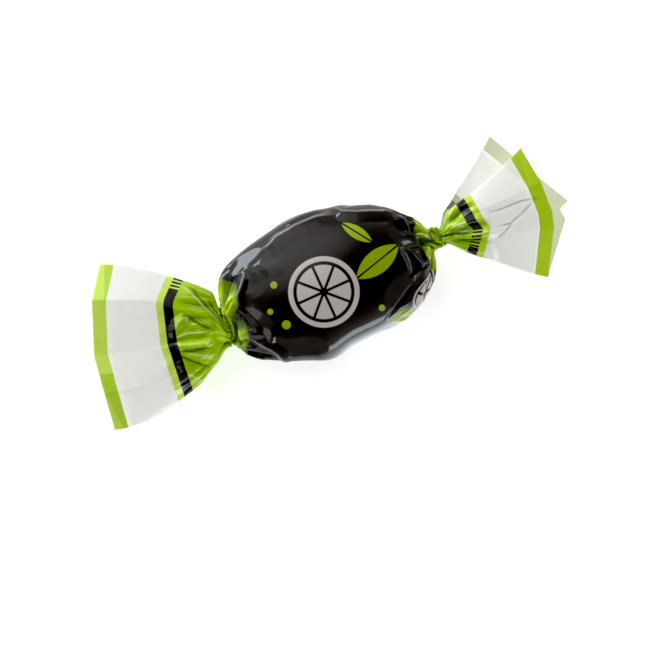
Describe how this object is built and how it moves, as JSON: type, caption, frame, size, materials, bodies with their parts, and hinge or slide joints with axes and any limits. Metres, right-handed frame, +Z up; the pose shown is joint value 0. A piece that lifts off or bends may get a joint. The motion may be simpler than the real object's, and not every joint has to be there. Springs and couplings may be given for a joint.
{
  "type": "dextrose candy",
  "caption": "Oval boiled sweet in a glossy black and lime twist wrapper, its clear ends spread into fans, lying on its broad side.",
  "frame": {"origin": "centre of the flat spot that the wrapped sweet rests on", "axes": "+X along the sweet towards the fan that stands open, +Z up, away from what it rests on"},
  "size_m": [0.0722, 0.0283, 0.0114],
  "materials": {
    "printed_film": "glossy printed film, near-black round the sweet, lime at the twists, milky clear fans with a lime edge"
  },
  "bodies": {
    "root": {"wrapped_candy": "printed_film"}
  },
  "joints": []
}
